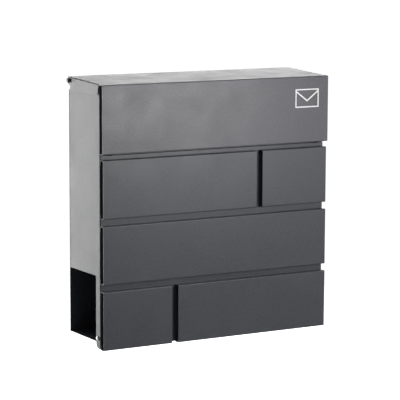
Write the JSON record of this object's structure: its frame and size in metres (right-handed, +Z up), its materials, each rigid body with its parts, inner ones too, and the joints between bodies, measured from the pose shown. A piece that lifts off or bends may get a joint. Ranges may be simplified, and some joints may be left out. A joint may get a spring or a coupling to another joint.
{
  "type": "wall letterbox",
  "caption": "Wall-mounted sheet-steel letterbox with a lift-up lid, a drop-down door faced with staggered raised plates, a cam lock, and a newspaper compartment open at both sides.",
  "frame": {"origin": "centre of the four wall screw holes, on the wall's surface", "axes": "+X to the viewer's right, +Y into the wall, +Z up"},
  "size_m": [0.3756, 0.1102, 0.376],
  "materials": {
    "anthracite_coat": "fine-textured satin powder coat",
    "zinc_plated_steel": "bright zinc plating",
    "lock_chrome": "polished",
    "rivet_aluminium": "satin",
    "black_rubber": "matte",
    "white_film": "matte printed film"
  },
  "bodies": {
    "box": {"back_panel": "anthracite_coat", "left_side_panel": "anthracite_coat", "right_side_panel": "anthracite_coat", "bottom_plate": "anthracite_coat", "compartment_floor": "anthracite_coat", "top_plate": "anthracite_coat", "slot_panel": "anthracite_coat", "letter_baffle": "anthracite_coat", "lid_hinge_pin_left": "anthracite_coat", "lid_hinge_pin_right": "anthracite_coat", "door_hinge_pin_left": "zinc_plated_steel", "door_hinge_pin_right": "zinc_plated_steel", "lid_hinge_washers": "zinc_plated_steel", "back_rivets": "rivet_aluminium", "lock_housing": "lock_chrome", "lock_washer": "zinc_plated_steel", "lock_nut": "zinc_plated_steel"},
    "lock_plug": {"lock_plug": "lock_chrome", "lock_cam": "zinc_plated_steel", "cam_screw": "zinc_plated_steel"},
    "door": {"door_tray": "anthracite_coat", "door_plate_bottom_left": "anthracite_coat", "door_plate_bottom_right": "anthracite_coat", "door_plate_middle": "anthracite_coat", "door_plate_top_left": "anthracite_coat", "door_plate_top_right": "anthracite_coat", "lock_catch": "zinc_plated_steel", "catch_rivets": "rivet_aluminium"},
    "lid": {"lid_shell": "anthracite_coat", "lid_bumper_left": "black_rubber", "lid_bumper_right": "black_rubber", "envelope_emblem": "white_film"}
  },
  "joints": [
    {"name": "lid_hinge", "type": "hinge", "parent": "box", "child": "lid", "pos_m": [0, -0.0077, 0.1355], "axis": [-1, 0, 0], "range_deg": [0, 90]},
    {"name": "door_hinge", "type": "hinge", "parent": "box", "child": "door", "pos_m": [0, -0.0925, -0.2197], "axis": [1, 0, 0], "range_deg": [0, 90]},
    {"name": "lock_turn", "type": "hinge", "parent": "box", "child": "lock_plug", "pos_m": [0, -0.09, 0.053], "axis": [0, 1, 0], "range_deg": [0, 90]}
  ]
}
